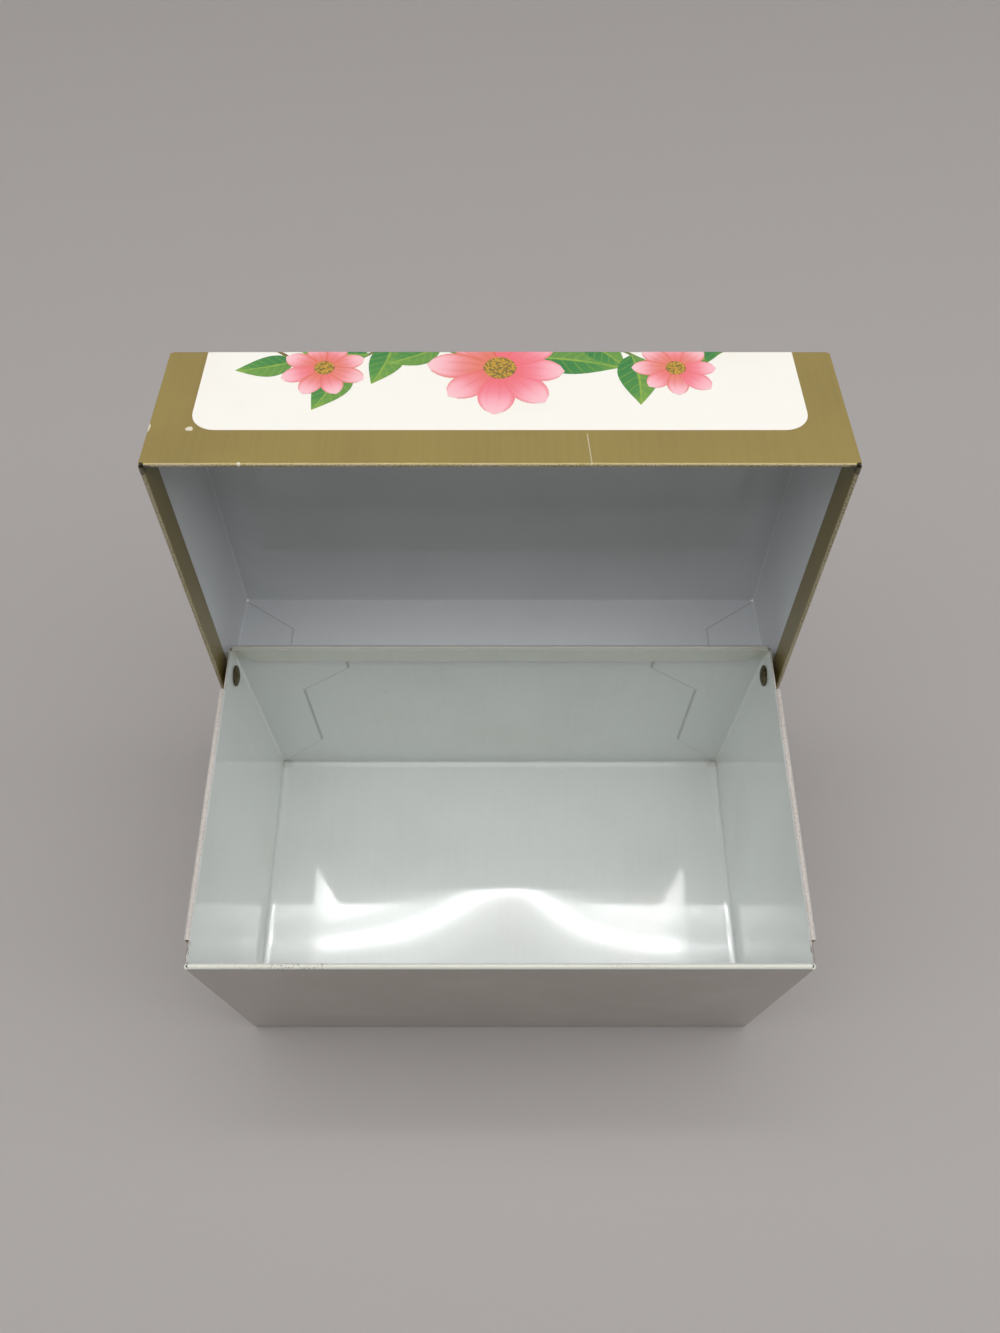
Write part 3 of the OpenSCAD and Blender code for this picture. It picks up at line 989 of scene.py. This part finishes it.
def placePetals(row, u, size, chance):
    # the petals of one flower
    petals = []
    count = printed["petalsPerFlower"]
    layer, lift = printed["petalLayer"]
    start = chance.uniform(0, math.pi)
    for k in range(count):
        height = layer * printed["ink"] + lift * k
        reach = size * chance.uniform(*printed["petalSize"])
        turn = start + k * math.tau / count
        petals.append((u, garlandHeight(row, u), height, turn, reach, chance.random()))
    return petals


def placeFan(u, v, layers, fan, chance):
    # two blades that lean apart and an upright one over them
    layer, lift = layers
    lean, size = fan
    points = []
    for k, tilt in enumerate((-lean, lean, 0)):
        height = layer * printed["ink"] + lift * k
        points.append((u, v, height, math.radians(90 + tilt), size, chance.random()))
    return points


def makeStems():
    lines, edges = [], []
    steps = printed["stemSteps"]
    for row in range(len(printed["rows"])):
        first = len(lines)
        for step in range(steps + 1):
            u = (step / steps - 0.5) * garlandSpan
            lines.append((u, garlandHeight(row, u), printed["ink"]))
        edges += [(first + i, first + i + 1) for i in range(steps)]
    flat = bpy.data.meshes.new("stem_lines")
    flat.from_pydata(lines, edges, [])
    values = {"Width": printed["stemWidth"], "Material": inkMaterial("ink_stem", stemColour)}
    wrapPrint("lid_print_stems", drawWith(stemGroup, "stem_lines", flat, values))


def makeGarlands():
    # flowers and buds take turns at the crests of the waves
    chance = random.Random(printed["seed"])
    crest = garlandSpan / printed["waves"] / 2
    leaves, petals, hearts = [], [], []
    for row in range(len(printed["rows"])):
        flowers = [k * crest for k in range(-2, 3) if (k + row) % 2 == 0]
        buds = [k * crest for k in range(-2, 3) if (k + row) % 2]
        leaves += placeLeaves(row, flowers, chance)
        for u in flowers:
            size = printed["flowerSize"][0 if abs(u) < 1 else 1]
            petals += placePetals(row, u, size, chance)
            left = u - printed["heart"]["Length"] / 2 * size
            hearts.append((left, garlandHeight(row, u), printed["heartLayer"] * printed["ink"], 0, size, 0))
        for u in buds:
            v = garlandHeight(row, u)
            tip = v + printed["budRise"]
            petals += placeFan(u, tip, printed["petalLayer"], printed["budPetal"], chance)
            leaves += placeFan(u, v, printed["budLeafLayer"], printed["budLeaf"], chance)
    growBlades("lid_print_leaves", leaves, printed["leaf"], inkMaterial("ink_leaf", leafColour))
    growBlades("lid_print_petals", petals, printed["petal"], inkMaterial("ink_petal", petalColour))
    growBlades("lid_print_hearts", hearts, printed["heart"], inkMaterial("ink_heart", heartColour))


makePanel()
makeStems()
makeGarlands()
print("print laid on the lid")


# a plain pale floor, soft light from above and the sides, and a ceiling lamp of two tubes behind the box
studio = {
    "floorColour": paint(168, 163, 161),
    "floorRough": 0.6,
    "floorSize": 6.0,
    "floorDrop": 0.0001,  # under the box, so that the two never share a plane
    "worldLevel": 0.08,
    # width and depth, place, and radiance, where 1 is white
    "lamps": {
        "softbox": ((2.2, 1.0), (0.04, -0.02, 1.0), 1.69),
        "side_left": ((1.0, 1.0), (-1.6, -0.05, 1.0), 2.2),
        "side_right": ((1.0, 1.0), (1.6, -0.05, 1.0), 3.2),
        "glow": ((0.95, 0.12), (0, 0.36, 1.21), 1.4),
        "trough_near": ((0.95, 0.012), (0, 0.352, 1.205), 7),
        "trough_far": ((0.95, 0.012), (0, 0.388, 1.205), 7),
        "tube_near": ((0.51, 0.011), (0, 0.352, 1.2), 18),
        "tube_far": ((0.51, 0.011), (0, 0.388, 1.2), 18),
    },
}


def areaLight(name, size, place, level):
    lamp = bpy.data.lights.new(name, "AREA")
    lamp.shape = "RECTANGLE"
    lamp.size, lamp.size_y = size
    lamp.energy = level * math.pi * size[0] * size[1]
    light = bpy.data.objects.new(name, lamp)
    light.location = place
    bpy.context.scene.collection.objects.link(light)


def makeWorld():
    # dim to the box, but the camera and every reflection see the floor's own colour
    world = bpy.data.worlds.new("studio")
    bpy.context.scene.world = world
    world.use_nodes = True
    world.node_tree.nodes.clear()
    tree = Tree(world.node_tree)
    camera, glossy, through = [tree.node("ShaderNodeLightPath", {}, [], "Is " + ray + " Ray")
                               for ray in ("Camera", "Glossy", "Transmission")]
    dim = tree.node("ShaderNodeBackground", {}, [(1, 1, 1, 1), studio["worldLevel"]])
    pale = tree.node("ShaderNodeBackground", {}, [studio["floorColour"], 1])
    both = tree.node("ShaderNodeMixShader", {}, [camera | glossy | through, dim, pale])
    output = world.node_tree.nodes.new("ShaderNodeOutputWorld")
    world.node_tree.links.new(both.socket, output.inputs[0])


def makeFloor():
    half = studio["floorSize"] / 2
    drop = -studio["floorDrop"]
    mesh = bpy.data.meshes.new("floor")
    corners = [(x * half, y * half, drop) for x, y in ((-1, -1), (1, -1), (1, 1), (-1, 1))]
    mesh.from_pydata(corners, [], [(0, 1, 2, 3)])
    floor = bpy.data.objects.new("floor", mesh)
    bpy.context.scene.collection.objects.link(floor)
    material, tree = newMaterial("floor_plain")
    values = {"Base Color": studio["floorColour"], "Roughness": studio["floorRough"]}
    finishMaterial(tree, tree.node("ShaderNodeBsdfPrincipled", {}, values))
    mesh.materials.append(material)


for lampName, (lampSize, lampPlace, radiance) in studio["lamps"].items():
    areaLight(lampName, lampSize, lampPlace, radiance)
makeWorld()
makeFloor()
bpy.context.scene.view_settings.view_transform = "Standard"
print("studio set")
